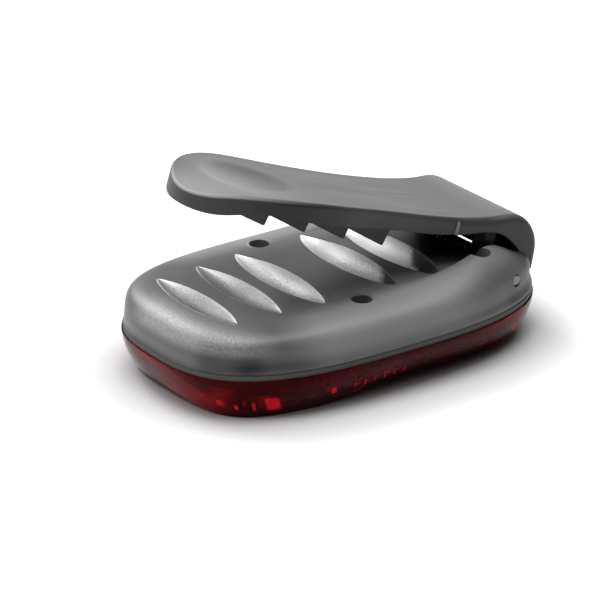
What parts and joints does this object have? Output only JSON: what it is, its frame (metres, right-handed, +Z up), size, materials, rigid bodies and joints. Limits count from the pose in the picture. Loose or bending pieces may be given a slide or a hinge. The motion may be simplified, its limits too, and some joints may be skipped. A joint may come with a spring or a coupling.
{
  "type": "clip-on rear bike light",
  "caption": "Rear bicycle light with a red lens, a grey grooved back, a toothed clip lever on a hinge pin and a push button in the lens face.",
  "frame": {"origin": "on the lens face, below the middle of the light", "axes": "+X along the light from the clip's free end to its hinge, +Y across it, +Z up from the lens face to the clip"},
  "size_m": [0.086, 0.0548, 0.0426],
  "materials": {
    "housing_grey": "fine-grained moulded grey",
    "lever_grey": "satin moulded grey",
    "lens_red": "polished transparent red",
    "gasket": "matt seal",
    "screw_steel": "zinc plated",
    "pin_steel": "ground",
    "spring_steel": "drawn spring wire",
    "reflex_red": "prismatic red",
    "reflector_white": "metallised cups",
    "led": "clear dome on a white base",
    "board_green": "solder resist",
    "component_black": "moulded epoxy",
    "capacitor_can": "drawn can",
    "plunger_black": "moulded",
    "button_black": "soft matt",
    "cradle_black": "moulded",
    "cell_sleeve": "plain printed sleeve with bare ends",
    "contact_metal": "nickel plated"
  },
  "bodies": {
    "light": {"rear_housing": "housing_grey", "lens": "lens_red", "lens_gasket": "gasket", "housing_screws": "screw_steel", "hinge_pin": "pin_steel", "clip_spring": "spring_steel", "reflex_panel": "reflex_red", "led_reflector": "reflector_white", "led_1": "led", "led_2": "led", "led_3": "led", "circuit_board": "board_green", "controller_chip": "component_black", "board_resistors": "component_black", "board_capacitor": "capacitor_can", "tactile_switch": "component_black", "battery_cradle": "cradle_black", "battery_1": "cell_sleeve", "battery_2": "cell_sleeve", "negative_contact": "contact_metal", "positive_contact": "contact_metal", "bridge_contact": "contact_metal"},
    "clip": {"clip_lever": "lever_grey"},
    "button": {"power_button": "button_black", "switch_plunger": "plunger_black"}
  },
  "joints": [
    {"name": "clip_hinge", "type": "hinge", "parent": "light", "child": "clip", "pos_m": [0.03, 0, 0.0144], "axis": [0, 1, 0], "range_deg": [-13.5, 8], "deforming": ["clip_spring"]},
    {"name": "button_press", "type": "slide", "parent": "light", "child": "button", "axis": [0, 0, 1], "range_m": [0, 0.0005], "stiffness_N_per_m": 2000, "springref_m": -0.0002}
  ]
}
